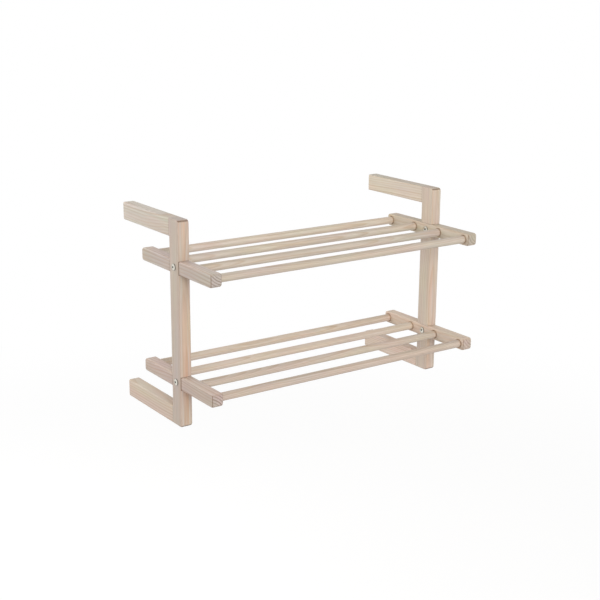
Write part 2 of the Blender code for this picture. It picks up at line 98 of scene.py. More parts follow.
lens = bpy.data.cameras.new("photo_camera")
lens.sensor_width = SENSOR_WIDTH
lens.lens = FOCAL_LENGTH
camera = bpy.data.objects.new("photo_camera", lens)
camera.location = CAMERA_PLACE
camera.rotation_mode = "QUATERNION"
camera.rotation_quaternion = aim(HEADING, PITCH, ROLL)
scene.collection.objects.link(camera)
scene.camera = camera
print("camera", round((CAMERA_PLACE - cad_middle).length, 2), "m from the middle of the rack")

# %% [markdown]
# ## Shader arithmetic
# A material is a small program. Written as nodes and links it gets long, so this class wraps one
# output socket and lets Python's own operators add the Math nodes. Every other node comes from its
# one method `node`, which takes the node's type, its settings and what goes into its sockets. The
# same class serves Geometry Nodes further on, because they use the same Math nodes.


# %% A socket that does arithmetic
class Wire:
    """One output socket of a node tree; each operator adds a Math node."""

    def __init__(self, tree, socket=None):
        self.tree = tree
        self.socket = socket

    @staticmethod
    def find(sockets, key):
        """A socket by its index, identifier or name."""
        if isinstance(key, int):
            return sockets[key]
        return next(s for s in sockets if key in (s.identifier, s.name))

    def node(self, kind, settings=None, inputs=None, output=0):
        made = self.tree.nodes.new(kind)
        for name, value in (settings or {}).items():
            if name == "stops":
                ramp = made.color_ramp.elements
                while len(ramp) < len(value):
                    ramp.new(1.0)
                for element, (place, grey) in zip(ramp, value):
                    element.position = place
                    element.color = (grey, grey, grey, 1.0)
            else:
                setattr(made, name, value)
        for key, value in (inputs or {}).items():
            socket = self.find(made.inputs, key)
            if isinstance(value, Wire):
                self.tree.links.new(value.socket, socket)
            else:
                socket.default_value = value
        return Wire(self.tree, self.find(made.outputs, output)) if len(made.outputs) else made

    def math(self, operation, first, second=0.0):
        return self.node("ShaderNodeMath", {"operation": operation}, {0: first, 1: second})

    def __add__(self, other):
        return self.math("ADD", self, other)

    def __sub__(self, other):
        return self.math("SUBTRACT", self, other)

    def __rsub__(self, other):
        return self.math("SUBTRACT", other, self)

    def __mul__(self, other):
        return self.math("MULTIPLY", self, other)

    def __truediv__(self, other):
        return self.math("DIVIDE", self, other)

    def __gt__(self, other):
        return self.math("GREATER_THAN", self, other)

    def __abs__(self):
        return self.math("ABSOLUTE", self)

    __radd__ = __add__
    __rmul__ = __mul__

    def step(self, start, end):
        """Smoothly 0 before start and 1 after end."""
        return self.node("ShaderNodeMapRange", {"interpolation_type": "SMOOTHSTEP"},
                         {"Value": self, "From Min": start, "From Max": end})

    def vector(self, operation, other, output=0):
        return self.node("ShaderNodeVectorMath", {"operation": operation}, {0: self, 1: other}, output)

    def mix(self, low, high):
        """A colour between two others, with this value as the factor."""
        return self.node("ShaderNodeMix", {"data_type": "RGBA"},
                         {"Factor_Float": self, "A_Color": low, "B_Color": high}, "Result_Color")


def paint(red, green, blue):
    """A colour as a picture editor shows it, 0 to 255, made linear for the shader."""
    channels = [value / 255 for value in (red, green, blue)]
    linear = [c / 12.92 if c <= 0.04045 else ((c + 0.055) / 1.055) ** 2.4 for c in channels]
    return (*linear, 1.0)


def tinted(tone, factors):
    """A colour with each channel scaled."""
    return (*(channel * factor for channel, factor in zip(tone, factors)), 1.0)


def new_material(name):
    """An empty material; returns it with a wire to start from and its output node."""
    material = bpy.data.materials.new(name)
    material.use_nodes = True
    material.node_tree.nodes.clear()
    output = material.node_tree.nodes.new("ShaderNodeOutputMaterial")
    return material, Wire(material.node_tree), output


print("a grey of 128 is", round(paint(128, 128, 128)[0], 3), "to the shader")

# %% [markdown]
# ## Studio
# The photograph was taken on a white sweep: no horizon, hardly a shadow, and even light. Two soft
# lamps give it a little form. A large one stands far in front, a little to the left and above. A
# small one is near, behind the rack on its left, and brightens the top faces. The rack hangs on a
# wall, so the floor lies well below it. To the camera, and in mirror-like reflections, the floor
# and the world are white; for soft light they are a plain pale floor and a dim dome. Some of the
# floor's own shading is left in, so it keeps the shadow.

# %% Floor, world and lamps
FLOOR_DROP = 0.58                   # from the underside of the rack down to the floor
FLOOR_SIZE = 14.0
FLOOR_GREY = paint(212, 211, 210)
FLOOR_SHADE = 0.35                  # share of the real shading that the camera sees near the rack
FLOOR_LEVEL = 0.52                  # how bright that shading is where no shadow falls
SHADE_REACH = (0.9, 2.4)            # metres from the rack over which that share fades away
WALL_LIGHT = 0.86                   # the pale walls all round
CEILING_LIGHT = 0.26
CEILING_EDGE = (math.sin(math.radians(15)), math.sin(math.radians(60)))
WHITE = (1, 1, 1, 1)


def seen_directly(wire):
    """1 for camera, glossy and transmission rays, and 0 for diffuse light."""
    path = {name: wire.node("ShaderNodeLightPath", output=name)
            for name in ("Is Camera Ray", "Is Glossy Ray", "Is Transmission Ray")}
    return path["Is Camera Ray"] + path["Is Glossy Ray"] + path["Is Transmission Ray"] > 0.5


def build_floor(height):
    mesh = bpy.data.meshes.new("pale_floor")
    half = FLOOR_SIZE / 2
    corners = [(-half, -half), (half, -half), (half, half), (-half, half)]
    mesh.from_pydata([(x, y, height) for x, y in corners], [], [(0, 1, 2, 3)])
    floor = bpy.data.objects.new("pale_floor", mesh)
    scene.collection.objects.link(floor)
    material, wire, output = new_material("pale_floor")
    pale = wire.node("ShaderNodeBsdfDiffuse", inputs={"Color": FLOOR_GREY})
    place = wire.node("ShaderNodeTexCoord", output="Object")
    away = place.vector("DISTANCE", (cad_middle.x, cad_middle.y, height), "Value")
    shade = (1 - away.step(*SHADE_REACH)) * FLOOR_SHADE
    # the glow is set so that glow and shading together are white where no shadow falls
    glow = wire.node("ShaderNodeEmission", inputs={"Strength": (1 - shade * FLOOR_LEVEL) / (1 - shade)})
    seen = wire.node("ShaderNodeMixShader", inputs={0: shade, 1: glow, 2: pale})
    both = wire.node("ShaderNodeMixShader", inputs={0: seen_directly(wire), 1: pale, 2: seen})
    wire.tree.links.new(both.socket, output.inputs["Surface"])
    mesh.materials.append(material)


def build_world():
    world = bpy.data.worlds.new("white_sweep")
    world.use_nodes = True
    world.node_tree.nodes.clear()
    wire = Wire(world.node_tree)
    output = world.node_tree.nodes.new("ShaderNodeOutputWorld")
    direction = wire.node("ShaderNodeTexCoord", output="Generated")
    overhead = wire.node("ShaderNodeSeparateXYZ", inputs={0: direction}, output="Z").step(*CEILING_EDGE)
    level = WALL_LIGHT + overhead * (CEILING_LIGHT - WALL_LIGHT)
    dome = wire.node("ShaderNodeBackground", inputs={"Color": WHITE, "Strength": level})
    white = wire.node("ShaderNodeBackground", inputs={"Color": WHITE, "Strength": 1.0})
    both = wire.node("ShaderNodeMixShader", inputs={0: seen_directly(wire), 1: dome, 2: white})
    wire.tree.links.new(both.socket, output.inputs["Surface"])
    scene.world = world


def add_softbox(name, heading, height, power, distance, size, mirrored=True):
    """A square area lamp that looks down at the middle of the rack along a heading, in degrees."""
    lamp = bpy.data.lights.new(name, "AREA")
    lamp.size = size
    lamp.energy = power
    softbox = bpy.data.objects.new(name, lamp)
    heading, pitch = math.radians(heading), math.radians(-height)
    softbox.location = cad_middle - ahead(heading, pitch) * distance
    softbox.rotation_mode = "QUATERNION"
    softbox.rotation_quaternion = aim(heading, pitch)
    softbox.visible_camera = False
    softbox.visible_glossy = mirrored
    scene.collection.objects.link(softbox)


floor_height = cad_low.z - FLOOR_DROP
build_floor(floor_height)
build_world()
add_softbox("front_softbox", heading=15, height=20, power=247, distance=7.0, size=3.2)
add_softbox("back_softbox", heading=135, height=27, power=13, distance=1.7, size=1.2, mirrored=False)
print("floor at", round(floor_height, 3))

# %% [markdown]
# ## Grain and growth rings
# Pine shows growth rings: a pale broad early wood that ends in a narrow orange-brown late wood line.
# The rings are shells round the heart of the tree, so a sawn bar shows lines along its sides and
# arcs on its ends. A painted image would not match from face to face. A solid pattern does: the
# distance from a heart line beside the bar gives the rings, and noise stretched along the grain
# makes them waver and gives fibres and streaks.

# %% Grain and rings as a solid pattern
AXES = {"X": Vector((1, 0, 0)), "Y": Vector((0, 1, 0)), "Z": Vector((0, 0, 1))}
NOISES = {                          # waves in a metre across and along the grain, and detail
    "drift": (9, 3.5, 1.0),         # the slow wandering of the rings
    "waver": (60, 6, 2.0),          # their small bends
    "fibre": (1500, 30, 3.0),
    "streak": (260, 4, 2.0),
    "patch": (38, 9, 2.0),          # where the wash lies thicker
    "cast": (45, 9, 1.0),           # slow changes of hue
    "bands": (210, 3, 1.0),         # pink bands in the heartwood
}
RING_DRIFT = 0.03                   # metres between the far ends of the wandering
RING_WAVER = 0.0016
RING_LEAN = 0.012                   # metres that the rings climb on each metre of the bar
WEAKEST_RING = 0.45                 # of the strongest one's darkness
# darkness at places across one ring, from its early wood to its late wood line
RING_LINES = [(0.0, 0.35), (0.07, 0.0), (0.45, 0.12), (0.80, 0.85), (0.92, 1.0), (1.0, 0.35)]


class Grain:
    """The grain of one piece of wood along an axis, at its place in the tree."""

    def __init__(self, place, along):
        self.place = place
        self.along = AXES[along]
        self.across = Vector((1, 1, 1)) - self.along

    def noise(self, kind, output="Fac"):
        across_rate, along_rate, detail = NOISES[kind]
        stretched = self.place.vector("MULTIPLY", self.across * across_rate + self.along * along_rate)
        return self.place.node("ShaderNodeTexNoise",
                               inputs={"Vector": stretched, "Scale": 1.0, "Detail": detail}, output=output)

    def from_heart(self, heart):
        """Distance from the heart line through a point, with the drift of the rings."""
        drift = self.noise("drift", "Color").vector("SUBTRACT", (0.5, 0.5, 0.5))
        drift = drift.vector("MULTIPLY", self.across * RING_DRIFT)
        bent = self.place.vector("ADD", drift).vector("MULTIPLY", self.across)
        return bent.vector("DISTANCE", heart * self.across, "Value")

    def late_wood(self, from_heart, ring_width, contrast):
        """Darkness of the late wood lines; each ring has a strength of its own."""
        climb = self.place.vector("DOT_PRODUCT", self.along * RING_LEAN, "Value")
        waver = (self.noise("waver") - 0.5) * RING_WAVER
        rings = (from_heart + climb + waver) / ring_width
        line = rings.node("ShaderNodeValToRGB", {"stops": RING_LINES}, {"Fac": rings.math("FRACT", rings)})
        strength = rings.node("ShaderNodeTexWhiteNoise", {"noise_dimensions": "1D"},
                              {"W": rings.math("FLOOR", rings)}, "Value")
        return line * (WEAKEST_RING + (1 - WEAKEST_RING) * strength) * contrast


print("the grain has", len(NOISES), "kinds of noise")

# %% [markdown]
# ## Ends and joints
# A square end drinks in the finish and turns a little darker, and most of all where its edge is
# rounded over and the fibres are cut aslant. The joints get painted shade: a dark hairline round a
# rail that is let into an upright, partly a dark joint and partly painted shadow, and a brown ring of
# painted shadow where a rod enters its socket. Such marks could be painted on by hand. Here the way a
# face looks and the boxes of the neighbouring pieces say where they are, so they hold from every side.

# %% Masks for ends and joints
SQUARE_FACING = (0.78, 0.96)        # from slanting face to square end, as cosines to the grain
SLANT_FACING = (0.36, 0.62)         # from side to slanting face
SLANT_SIDE = (0.25, 0.6)            # cosines to the axis towards which a slant is darkest
SLANT_ELSEWHERE = 0.25              # what is left of the slant's mark towards other sides
SLANT_BASE = 0.4                    # what is there of it without any streak
# The line round a lap joint is partly a dark joint and partly painted shadow.
JOINT_LINE = 0.0009                 # reach of the dark line beside a lap joint
JOINT_AND_SHADOW_TINT = (0.40, 0.32, 0.27)
# The ring round each rod where it enters its rail is painted shadow, in a warm brown.
SOCKET_SHADOW_REACH = 0.004                 # reach of the mark round a rod
SOCKET_EDGE = 0.001                 # over which it stops at the depth of the rod's end
SOCKET_SHADOW_STRENGTH = 0.8
SOCKET_SHADOW_TINT = (0.66, 0.52, 0.40)


def cut_ends(facing, grain, slant, streak):
    """Masks for faces that cut the grain squarely and for those that cut it aslant."""
    squareness = abs(facing.vector("DOT_PRODUCT", grain.along, "Value"))
    square = squareness.step(*SQUARE_FACING)
    side = abs(facing.vector("DOT_PRODUCT", AXES[slant], "Value")).step(*SLANT_SIDE)
    darkness = (SLANT_ELSEWHERE + (1 - SLANT_ELSEWHERE) * side) * (SLANT_BASE + streak)
    return square, squareness.step(*SLANT_FACING) * (1 - square) * darkness


def lap_line_and_shadow(place, let_in, line_darkness):
    """A dark line on an upright round the box of a rail that is let into it: a dark joint, partly painted
    shadow.
    """
    low, high = let_in
    offset = place.vector("SUBTRACT", (low + high) / 2).vector("ABSOLUTE", (0, 0, 0))
    offset = offset.vector("SUBTRACT", (high - low) / 2)
    x, y, z = (place.node("ShaderNodeSeparateXYZ", inputs={0: offset}, output=axis) for axis in "XYZ")
    outside = x.math("MAXIMUM", x, y.math("MAXIMUM", y, z))
    return (1 - outside.step(JOINT_LINE / 2, JOINT_LINE)) * line_darkness


def socket_shadow_ring(place, rod):
    """A ring of painted shadow on a rail round the box of a rod, no deeper than the rod's end."""
    low, high = rod
    middle = (low + high) / 2
    radius = (high.z - low.z) / 2
    from_axis = place.vector("MULTIPLY", (0, 1, 1)).vector("DISTANCE", (0, middle.y, middle.z), "Value")
    from_middle = abs(place.vector("DOT_PRODUCT", AXES["X"], "Value"))
    inner_side = 1 - from_middle.step(high.x, high.x + SOCKET_EDGE)
    return (1 - from_axis.step(radius, radius + SOCKET_SHADOW_REACH)) * inner_side * SOCKET_SHADOW_STRENGTH


def rod_end_shadow(place, face):
    """The same painted shadow on the rods' ends; face is the distance of the rails' inner faces from the
    middle.
    """
    from_middle = abs(place.vector("DOT_PRODUCT", AXES["X"], "Value"))
    return from_middle.step(face - SOCKET_SHADOW_REACH, face) * SOCKET_SHADOW_STRENGTH


print("marks reach", JOINT_LINE, "m round a rail and", SOCKET_SHADOW_REACH, "m round a rod")

# %% [markdown]
# ## White-washed pine
# The material lays the colours over each other as they lie on the real rack: early and late wood, a
# pink blush in bands near the heart, and a thin white wash that takes better on the open early wood
# than on the dense lines. Cut ends, streaks, painted shade at the joints and painted light on upward
# faces follow. One shared material would make all bars twins, so this is a function, and each bar
# gets a material of its own.

# %% The pine material
EARLY_LIFT = (1.045, 1.05, 1.06)    # early wood against the average tone
LATE_DROP = (0.90, 0.80, 0.70)
BLUSH_TINT = (1.06, 0.85, 0.72)     # heartwood against sapwood
BLUSH_REACH = (0.006, 0.030)        # metres from the heart over which the blush fades
BLUSH_BANDS = (0.38, 0.62)          # noise from plain to pink bands
BLUSH_BETWEEN = 0.25                # blush between the bands
BLUSH_IN_BANDS = 0.85               # and what the bands add to it
WASH_WHITE = paint(226, 219, 211)
WASH_EDGE = (0.35, 0.75)            # noise from bare to washed wood
WASH_COVER = 0.16
END_TINT = (0.93, 0.94, 0.98)
END_LATE = (0.46, 0.40, 0.36)
SLANT_TINT = (0.42, 0.33, 0.28)
STREAK_SHADE = 0.32                 # how far streaks, fibres and hue move the tone
FIBRE_SHADE = 0.18
CAST_SHADE = 0.14
OWN_SHADE = 0.15                    # and how far the pieces of a set differ
OWN_SHIFT = (1.7, 0.02, 0.013)      # metres over which they are spread in the tree
UPWARD = (0.6, 0.9)                 # from side to top, as the upward part of a face's direction
LATE_RELIEF = 0.6
FIBRE_RELIEF = 0.5
PINE_BUMP = 0.25
PINE_RELIEF = 0.0004
PINE_ROUGHNESS = 0.52
LATE_POLISH = 0.08                  # the dense lines are smoother, the ends rougher
END_DULLING = 0.12
PINE_SPECULAR = 0.3


def washed_pine(name, along, heart, tone, blush, slant, contrast, ring_width,
                top=1.0, end=1.0, each_own=None, marks=()):
    """Washed pine with its grain along an axis and its rings round a heart line through a point.

    slant is the axis towards which the ends' darkest rounded edges face. top and end scale the tone
    of upward faces and square ends, bar by bar; this is partly painted light, which evens out the light
    these faces get. each_own names an attribute, 0 to 1, that gives each piece of a set its own place
    in the tree and its own shade. marks are pairs of a tint and the function that masks it; at the
    joints they are painted shade."""
    material, wire, output = new_material(name)
    here = wire.node("ShaderNodeTexCoord", output="Object")
    facing = wire.node("ShaderNodeTexCoord", output="Normal")
    in_tree = here
    shade = 1.0
    if each_own:
        own = wire.node("ShaderNodeAttribute", {"attribute_name": each_own}, output="Fac")
        in_tree = here.vector("ADD", own.vector("MULTIPLY", OWN_SHIFT))
        shade = 1.0 + (own - 0.5) * OWN_SHADE
    grain = Grain(in_tree, along)
    from_heart = grain.from_heart(heart)
    late = grain.late_wood(from_heart, ring_width, contrast)
    fibre, streak, patch = (grain.noise(kind) for kind in ("fibre", "streak", "patch"))
    square, aslant = cut_ends(facing, grain, slant, streak)

    wood = late.mix(tinted(tone, EARLY_LIFT), tinted(tone, LATE_DROP))
    banded = BLUSH_BETWEEN + BLUSH_IN_BANDS * grain.noise("bands").step(*BLUSH_BANDS)
    heartwood = (1 - from_heart.step(*BLUSH_REACH)) * banded * blush
    wood = heartwood.mix(wood, wood.vector("MULTIPLY", BLUSH_TINT))
    wash = (patch * 0.5 + fibre * 0.5).step(*WASH_EDGE) * (1 - late) * WASH_COVER
    wood = wash.mix(wood, WASH_WHITE)
    end_tone = tinted(tone, (end, end, end))
    wood = square.mix(wood, late.mix(tinted(end_tone, END_TINT), tinted(end_tone, END_LATE)))
    wood = aslant.mix(wood, tinted(tone, SLANT_TINT))

    shade = shade + (streak - 0.5) * STREAK_SHADE + (fibre - 0.5) * FIBRE_SHADE
    cast = grain.noise("cast", "Color").vector("MULTIPLY", [CAST_SHADE] * 3)
    cast = cast.vector("ADD", [1 - CAST_SHADE / 2] * 3)
    # Upward faces are made lighter or darker by top, which is partly painted light.
    upward = facing.vector("DOT_PRODUCT", AXES["Z"], "Value").step(*UPWARD)
    for factor in (shade, cast, 1.0 + upward * (top - 1.0)):
        wood = wood.vector("MULTIPLY", factor)
    # the painted shade at the joints, with the dark joints of the laps
    for tint, mask in marks:
        wood = mask(here).mix(wood, wood.vector("MULTIPLY", tint))

    relief = late * LATE_RELIEF + fibre * FIBRE_RELIEF
    bump = wire.node("ShaderNodeBump",
                     inputs={"Strength": PINE_BUMP, "Distance": PINE_RELIEF, "Height": relief})
    roughness = PINE_ROUGHNESS - late * LATE_POLISH + square * END_DULLING
    shader = wire.node("ShaderNodeBsdfPrincipled",
                       inputs={"Base Color": wood, "Specular IOR Level": PINE_SPECULAR, "Normal": bump,
                               "Roughness": roughness})
    wire.tree.links.new(shader.socket, output.inputs["Surface"])
    return material


print("the wash covers up to", round(100 * WASH_COVER), "percent of the wood")

# %% [markdown]
# ## Where each bar was sawn
# Each bar was sawn from its own place in its own tree and took the wash in its own way. Random
# numbers could stand in for that, but then no bar would look like its own self on the real rack. So
# each has its own heart line and tone, and its kind gives the way of its grain.

# %% Where each bar was sawn, and its tone
BAR_RINGS = 0.0055                  # width of a growth ring
# The lap lines are partly painted shadow, and their darkness differs from side to side.
LAP_LINE_DARKNESS = {"left": 0.8, "right": 0.3}      # how open the lap joints of a side are
KINDS = {                           # what the bars of a kind share
    "upright": {"along": "Z", "slant": "Y", "contrast": 0.7},
    "arm": {"along": "Y", "slant": "X", "contrast": 1.1},
    "rail": {"along": "Y", "slant": "X", "contrast": 1.1, "blush": 0.4},
}
# Tone, top and end of each bar partly paint light: faces that get too little light, such as the right rails,
# are lighter, and upward faces are lighter or darker.
BARS = {                            # heart is how far the heart line lies from the bar's middle
    "left_upright": {"heart": (-0.00125, -0.0275, 0), "tone": paint(191, 178, 165), "blush": 0.9,
                     "top": 1.2},
    "right_upright": {"heart": (-0.00575, -0.0335, 0), "tone": paint(201, 186, 170), "blush": 0.7,
                      "top": 1.2},
    "left_top_arm": {"heart": (0.00675, 0, -0.12625), "tone": paint(199, 189, 176), "blush": 0.3},
    "right_top_arm": {"heart": (-0.00175, 0, -0.11625), "tone": paint(209, 196, 179), "blush": 0.3,
                      "top": 0.85},
    "left_bottom_arm": {"heart": (-0.02325, 0, 0.07925), "tone": paint(205, 188, 171), "blush": 0.5},
    "right_bottom_arm": {"heart": (0.00825, 0, -0.08075), "tone": paint(216, 197, 181), "blush": 0.5},
    "upper_left_rail": {"heart": (0.02425, 0, 0.0315), "tone": paint(188, 175, 165), "top": 1.15,
                        "end": 1.1},
    "upper_right_rail": {"heart": (0.02575, 0, 0.0285), "tone": paint(199, 186, 165), "end": 0.95,
                         "contrast": 0.65},
    "lower_left_rail": {"heart": (-0.02975, 0, -0.035), "tone": paint(191, 174, 162), "top": 1.15,
                        "end": 1.1},
    "lower_right_rail": {"heart": (0.02675, 0, 0.033), "tone": paint(207, 188, 170), "top": 1.1,
                         "end": 0.95, "contrast": 0.65},
}


def rod_names(shelf):
    """A shelf's rods, from front to back."""
    return sorted(name for name in nodes if name.startswith(shelf + "_rod_"))


def joint_shade_marks(node, kind):
    """Tints and masks of painted shade for the rails let into an upright, or for the rods let into a rail.
    """
    first_word = node.split("_")[0]
    if kind == "upright":
        rails = [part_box(f"{shelf}_{first_word}_rail") for shelf in SHELVES]
        line_darkness = LAP_LINE_DARKNESS[first_word]
        return [(JOINT_AND_SHADOW_TINT, partial(lap_line_and_shadow, let_in=rail, line_darkness=line_darkness)) for rail in rails]
    if kind == "rail":
        rods = [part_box(name) for name in rod_names(first_word)]
        return [(SOCKET_SHADOW_TINT, partial(socket_shadow_ring, rod=rod)) for rod in rods]
    return []


def bar_pine(node, kind):
    """The pine of one bar, with what its kind shares and what is its own."""
    low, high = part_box(node)
    looks = KINDS[kind] | BARS[node]
    looks["heart"] = (low + high) / 2 + Vector(looks["heart"])
    return washed_pine("washed_pine_" + node, ring_width=BAR_RINGS, marks=joint_shade_marks(node, kind), **looks)


print(len(BARS), "bars, with", len(rod_names("upper")), "rods to a shelf")

# %% [markdown]
# ## Frame bars and rails
# The uprights, arms and rails are planed bars whose joints are cut sharp and then eased with a wipe
# of sandpaper. They could be modelled again from nothing, but the CAD solids already hold every
# notch and socket. So each is copied, its loose triangles are merged, and a small Bevel eases the
# edges that the CAD leaves sharp. Weighted normals keep the flat faces flat.

# %% Dress the bars
EASED_EDGE = 0.0004
SHARP_ANGLE = math.radians(50)
SAME_POINT = 0.00001                # corners nearer than this are one
FLAT_ANGLE = math.radians(0.5)      # faces that meet at less than this are one


def merged_copy(node, name):
    """A copy of a CAD node with its triangles joined into one skin of flat faces."""
    mesh = nodes[node].data.copy()
    mesh.name = name
    skin = bmesh.new()
    skin.from_mesh(mesh)
    bmesh.ops.remove_doubles(skin, verts=skin.verts, dist=SAME_POINT)
    bmesh.ops.dissolve_limit(skin, angle_limit=FLAT_ANGLE, verts=skin.verts, edges=skin.edges)
    skin.to_mesh(mesh)
    skin.free()
    mesh.shade_smooth()
    mesh.materials.clear()
    piece = bpy.data.objects.new(name, mesh)
    scene.collection.objects.link(piece)
    return piece


def ease_edges(piece):
    """Round the sharp edges a little and let the big faces lead the shading."""
    bevel = piece.modifiers.new("eased_edges", "BEVEL")
    bevel.width = EASED_EDGE
    bevel.segments = 2
    bevel.limit_method = "ANGLE"
    bevel.angle_limit = SHARP_ANGLE
    bevel.use_clamp_overlap = True
    normals = piece.modifiers.new("flat_faces_lead", "WEIGHTED_NORMAL")
    normals.mode = "FACE_AREA"
    normals.weight = 100


for node in BARS:
    kind = node.split("_")[-1]
    bar = merged_copy(node, node + "_bar")
    ease_edges(bar)
    bar.data.materials.append(bar_pine(node, kind))
    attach(bar, "root")
    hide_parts(node)
    kind + "_pine"
print("dressed", len(BARS), "bars")

# %% [markdown]
# ## A helper for Geometry Nodes
# What repeats is best made by a node tree: the pattern then has a count and a pitch instead of
# copies placed by hand. The tree's inputs have names, but a modifier knows them by identifier, so
# the helper looks these up. It runs the tree once and keeps the result as a plain mesh, because
# whoever reuses the rack needs real faces.

# %% Grow a plain mesh from a node tree
CREASE_ANGLE = math.radians(40)     # edges sharper than this stay sharp in the shading


def new_tree(name, inputs):
    """An empty geometry tree; returns it with a wire to start from and a way to its named inputs."""
    tree = bpy.data.node_groups.new(name, "GeometryNodeTree")
    for label, kind in inputs.items():
        tree.interface.new_socket(label, in_out="INPUT", socket_type="NodeSocket" + kind)
    tree.interface.new_socket("Geometry", in_out="OUTPUT", socket_type="NodeSocketGeometry")
    wire = Wire(tree)

    def given(label):
        return wire.node("NodeGroupInput", output=label)

    return tree, wire, given


def finish_tree(wire, instances):
    """Make the instances real, give them their material and send them out."""
    real = wire.node("GeometryNodeRealizeInstances", inputs={"Geometry": instances})
    material = wire.node("NodeGroupInput", output="Material")
    dressed = wire.node("GeometryNodeSetMaterial", inputs={"Geometry": real, "Material": material})
    wire.node("NodeGroupOutput", inputs={"Geometry": dressed})


def grow(name, tree, values, seed_mesh=None):
    """Run a tree and keep what it makes as a plain mesh with its faces pointing out."""
    piece = bpy.data.objects.new(name, seed_mesh or bpy.data.meshes.new(name + "_seed"))
    scene.collection.objects.link(piece)
    modifier = piece.modifiers.new(name, "NODES")
    modifier.node_group = tree
    for socket in tree.interface.items_tree:
        if socket.in_out == "INPUT" and socket.name in values:
            modifier[socket.identifier] = values[socket.name]
    depsgraph = bpy.context.evaluated_depsgraph_get()
    mesh = bpy.data.meshes.new_from_object(piece.evaluated_get(depsgraph), preserve_all_data_layers=True,
                                           depsgraph=depsgraph)
    piece.modifiers.clear()
    piece.data = mesh
    skin = bmesh.new()
    skin.from_mesh(mesh)
    bmesh.ops.recalc_face_normals(skin, faces=skin.faces)
    skin.to_mesh(mesh)
    skin.free()
    mesh.shade_smooth()
    mesh.set_sharp_from_angle(angle=CREASE_ANGLE)
    print(name, "has", len(mesh.polygons), "faces")
    return piece


print("creases start at", round(math.degrees(CREASE_ANGLE)), "degrees")

# %% [markdown]
# ## Shelf rods
# Each shelf is a row of turned rods, all alike but for their grain. Lathe work could be a Screw
# modifier; here a line of four points along the rod is swept with a circle, whose scale is a little
# smaller at the first and last point, which eases the ends. A second line of points, one for each
# rod, carries the copies, and a seeded random number gives each rod its own piece of tree.

# %% A tree that turns a row of rods
SPINE_POINTS = 4


def build_rod_tree():
    tree, wire, given = new_tree("shelf_rods", {
        "Count": "Int", "First place": "Vector", "Pitch": "Vector", "Length": "Float", "Radius": "Float",
        "End ease": "Float", "Sides": "Int", "Seed": "Int", "Material": "Material"})
    side = wire.node("GeometryNodeInputIndex") - (SPINE_POINTS - 1) / 2
    outer = abs(side) - 0.5             # 1 at the first and last point, 0 at the two between
    reach = given("Length") / 2 - given("End ease") * (1 - outer)
    spine_place = wire.node("ShaderNodeCombineXYZ", inputs={"X": side.math("SIGN", side) * reach})
    spine = wire.node("GeometryNodeMeshLine", inputs={"Count": SPINE_POINTS})
    spine = wire.node("GeometryNodeSetPosition", inputs={"Geometry": spine, "Position": spine_place})
    spine = wire.node("GeometryNodeMeshToCurve", inputs={"Mesh": spine})
    section = wire.node("GeometryNodeCurvePrimitiveCircle",
                        inputs={"Resolution": given("Sides"), "Radius": 1.0})
    scale = given("Radius") - given("End ease") * outer
    rod = wire.node("GeometryNodeCurveToMesh",
                    inputs={"Curve": spine, "Profile Curve": section, "Fill Caps": True, "Scale": scale})
    row = wire.node("GeometryNodeMeshLine",
                    inputs={"Count": given("Count"), "Start Location": given("First place"),
                            "Offset": given("Pitch")})
    rods = wire.node("GeometryNodeInstanceOnPoints", inputs={"Points": row, "Instance": rod})
    chance = wire.node("FunctionNodeRandomValue", {"data_type": "FLOAT"}, {"Seed": given("Seed")},
                       "Value_001")
    rods = wire.node("GeometryNodeStoreNamedAttribute", {"data_type": "FLOAT", "domain": "INSTANCE"},
                     {"Geometry": rods, "Name": "rod_grain", "Value": chance})
    finish_tree(wire, rods)
    return tree


rod_tree = build_rod_tree()
print("the rod tree has", len(rod_tree.nodes), "nodes")

# %% [markdown]
# ## The rods of both shelves
# Both shelves have the same rods at the same pitch, glued into the rails. Their places could be
# typed in again, but the boxes of the CAD rods give length, radius, first place and pitch, so these
# go into the tree from there. The rods of a shelf share one material.

# %% Turn the rods
ROD_END_EASE = 0.001
ROD_SIDES = 64
ROD_HEART = Vector((0, -0.36, -0.02))       # above the front rod of the upper shelf
ROD_RINGS = 0.0036                          # width of a growth ring
ROD_BLUSH = 0.5
ROD_CONTRAST = 0.9
ROD_TONES = {"upper": paint(202, 189, 173), "lower": paint(203, 187, 171)}
# The seeds are picked so the front rods come out darker: painted shade that evens out the stronger light on
# them.
ROD_SEEDS = {"upper": 81, "lower": 101}     # the darker rods come out in front

for shelf in SHELVES:
    inner_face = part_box(f"{shelf}_right_rail")[0].x
    # the rods' ends get the painted shadow of their sockets
    end_shadow = (SOCKET_SHADOW_TINT, partial(rod_end_shadow, face=inner_face))
    rod_pine = washed_pine(f"washed_pine_{shelf}_rods", "X", ROD_HEART, ROD_TONES[shelf], ROD_BLUSH,
                           slant="X", contrast=ROD_CONTRAST, ring_width=ROD_RINGS,
                           each_own="rod_grain", marks=[end_shadow])
    names = rod_names(shelf)
    boxes = [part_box(name) for name in names]
    middles = [(low + high) / 2 for low, high in boxes]
    size = boxes[0][1] - boxes[0][0]
    pitch = (middles[-1] - middles[0]) / (len(names) - 1)
    rods = grow(shelf + "_shelf_rods", rod_tree, {
        "Count": len(names), "First place": middles[0], "Pitch": pitch, "Length": size.x,
        "Radius": size.z / 2, "End ease": ROD_END_EASE, "Sides": ROD_SIDES, "Seed": ROD_SEEDS[shelf],
        "Material": rod_pine})
    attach(rods, "root")
    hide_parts(*names)

# %% [markdown]
# ## Zinc plate
# The bolts, nuts, plates and screws are zinc-plated steel: a bright grey that is never a perfect
# mirror. One plain roughness would do from afar. But barrel plating leaves tiny dull patches, so
# the roughness changes a little from spot to spot, and a faint bump breaks up the reflections.
# Where an attribute named hollow is 1, down in a socket and under a rim, the metal is painted dark:
# a film of oil in the socket, and painted shade there and under the rim.

